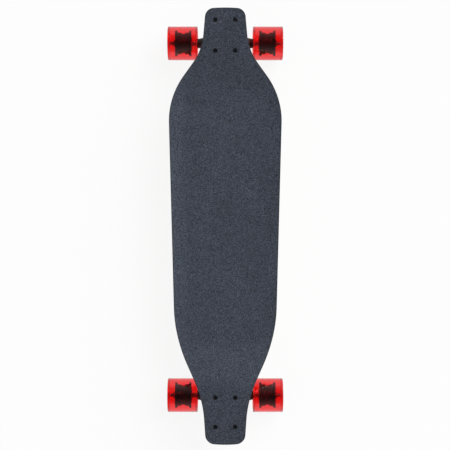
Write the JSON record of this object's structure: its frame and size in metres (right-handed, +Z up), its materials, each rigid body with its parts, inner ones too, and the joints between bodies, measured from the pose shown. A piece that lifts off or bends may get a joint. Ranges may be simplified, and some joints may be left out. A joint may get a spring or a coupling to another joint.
{
  "type": "longboard skateboard",
  "caption": "Longboard skateboard: a gritted drop platform maple deck on two sprung trucks with wide clear urethane wheels on ball bearings.",
  "frame": {"origin": "on the ground, under the middle of the deck's length and width", "axes": "+Y towards the nose, +X to the rider's right when facing the nose, +Z up"},
  "size_m": [0.2466, 0.9142, 0.1171],
  "materials": {
    "maple": "clear lacquered maple plies",
    "grip": "coarse charcoal grit",
    "black_steel": "black oxide",
    "zinc_steel": "bright zinc",
    "axle_steel": "ground steel",
    "bearing_steel": "polished",
    "shield_steel": "pressed sheet",
    "spacer_aluminium": "turned",
    "cage_nylon": "moulded nylon",
    "black_casting": "black powder coat",
    "black_rubber": "matte",
    "cup_urethane": "satin urethane",
    "red_urethane": "satin urethane",
    "red_tyre": "clear poured urethane",
    "black_core": "moulded, satin"
  },
  "bodies": {
    "board": {"deck": "maple", "grip_tape": "grip", "front_mounting_bolts": "black_steel", "front_mounting_nuts": "zinc_steel", "front_riser_pad": "black_rubber", "front_baseplate": "black_casting", "front_pivot_cup": "cup_urethane", "front_kingpin": "zinc_steel", "front_kingpin_nut": "zinc_steel", "front_board_side_bushing": "red_urethane", "front_road_side_bushing": "red_urethane", "front_bushing_washers": "zinc_steel", "rear_mounting_bolts": "black_steel", "rear_mounting_nuts": "zinc_steel", "rear_riser_pad": "black_rubber", "rear_baseplate": "black_casting", "rear_pivot_cup": "cup_urethane", "rear_kingpin": "zinc_steel", "rear_kingpin_nut": "zinc_steel", "rear_board_side_bushing": "red_urethane", "rear_road_side_bushing": "red_urethane", "rear_bushing_washers": "zinc_steel"},
    "front_hanger_set": {"front_hanger": "black_casting", "front_axle": "axle_steel", "front_axle_nuts": "zinc_steel", "front_axle_washers": "zinc_steel", "front_bearing_inner_rings": "bearing_steel", "front_bearing_spacers": "spacer_aluminium"},
    "rear_hanger_set": {"rear_hanger": "black_casting", "rear_axle": "axle_steel", "rear_axle_nuts": "zinc_steel", "rear_axle_washers": "zinc_steel", "rear_bearing_inner_rings": "bearing_steel", "rear_bearing_spacers": "spacer_aluminium"},
    "front_left_wheel": {"front_left_tyre": "red_tyre", "front_left_wheel_core": "black_core", "front_left_bearing_outer_rings": "bearing_steel", "front_left_bearing_shields": "shield_steel"},
    "front_left_ball_set": {"front_left_bearing_balls": "bearing_steel", "front_left_bearing_cages": "cage_nylon"},
    "front_right_wheel": {"front_right_tyre": "red_tyre", "front_right_wheel_core": "black_core", "front_right_bearing_outer_rings": "bearing_steel", "front_right_bearing_shields": "shield_steel"},
    "front_right_ball_set": {"front_right_bearing_balls": "bearing_steel", "front_right_bearing_cages": "cage_nylon"},
    "rear_left_wheel": {"rear_left_tyre": "red_tyre", "rear_left_wheel_core": "black_core", "rear_left_bearing_outer_rings": "bearing_steel", "rear_left_bearing_shields": "shield_steel"},
    "rear_left_ball_set": {"rear_left_bearing_balls": "bearing_steel", "rear_left_bearing_cages": "cage_nylon"},
    "rear_right_wheel": {"rear_right_tyre": "red_tyre", "rear_right_wheel_core": "black_core", "rear_right_bearing_outer_rings": "bearing_steel", "rear_right_bearing_shields": "shield_steel"},
    "rear_right_ball_set": {"rear_right_bearing_balls": "bearing_steel", "rear_right_bearing_cages": "cage_nylon"}
  },
  "joints": [
    {"name": "front_steer", "type": "hinge", "parent": "board", "child": "front_hanger_set", "pos_m": [0, 0.37497, 0.05017], "axis": [0, -0.8209, -0.5711], "range_deg": [-15, 15], "stiffness_Nm_per_rad": 45, "deforming": ["front_board_side_bushing", "front_road_side_bushing"]},
    {"name": "rear_steer", "type": "hinge", "parent": "board", "child": "rear_hanger_set", "pos_m": [0, -0.34554, 0.05546], "axis": [0, 0.9465, -0.3227], "range_deg": [-15, 15], "stiffness_Nm_per_rad": 45, "deforming": ["rear_board_side_bushing", "rear_road_side_bushing"]},
    {"name": "front_left_spin", "type": "hinge", "parent": "front_hanger_set", "child": "front_left_wheel", "pos_m": [-0.0903, 0.39613, 0.036], "axis": [1, 0, 0], "continuous": true},
    {"name": "front_left_ball_orbit", "type": "hinge", "parent": "front_hanger_set", "child": "front_left_ball_set", "pos_m": [-0.0903, 0.39613, 0.036], "axis": [1, 0, 0], "continuous": true},
    {"name": "front_right_spin", "type": "hinge", "parent": "front_hanger_set", "child": "front_right_wheel", "pos_m": [0.0903, 0.39613, 0.036], "axis": [1, 0, 0], "continuous": true},
    {"name": "front_right_ball_orbit", "type": "hinge", "parent": "front_hanger_set", "child": "front_right_ball_set", "pos_m": [0.0903, 0.39613, 0.036], "axis": [1, 0, 0], "continuous": true},
    {"name": "rear_left_spin", "type": "hinge", "parent": "rear_hanger_set", "child": "rear_left_wheel", "pos_m": [-0.0903, -0.36196, 0.036], "axis": [1, 0, 0], "continuous": true},
    {"name": "rear_left_ball_orbit", "type": "hinge", "parent": "rear_hanger_set", "child": "rear_left_ball_set", "pos_m": [-0.0903, -0.36196, 0.036], "axis": [1, 0, 0], "continuous": true},
    {"name": "rear_right_spin", "type": "hinge", "parent": "rear_hanger_set", "child": "rear_right_wheel", "pos_m": [0.0903, -0.36196, 0.036], "axis": [1, 0, 0], "continuous": true},
    {"name": "rear_right_ball_orbit", "type": "hinge", "parent": "rear_hanger_set", "child": "rear_right_ball_set", "pos_m": [0.0903, -0.36196, 0.036], "axis": [1, 0, 0], "continuous": true}
  ],
  "couplings": [
    {"joint": "front_left_ball_orbit", "follows": "front_left_spin", "ratio": 0.632},
    {"joint": "front_right_ball_orbit", "follows": "front_right_spin", "ratio": 0.632},
    {"joint": "rear_left_ball_orbit", "follows": "rear_left_spin", "ratio": 0.632},
    {"joint": "rear_right_ball_orbit", "follows": "rear_right_spin", "ratio": 0.632}
  ]
}
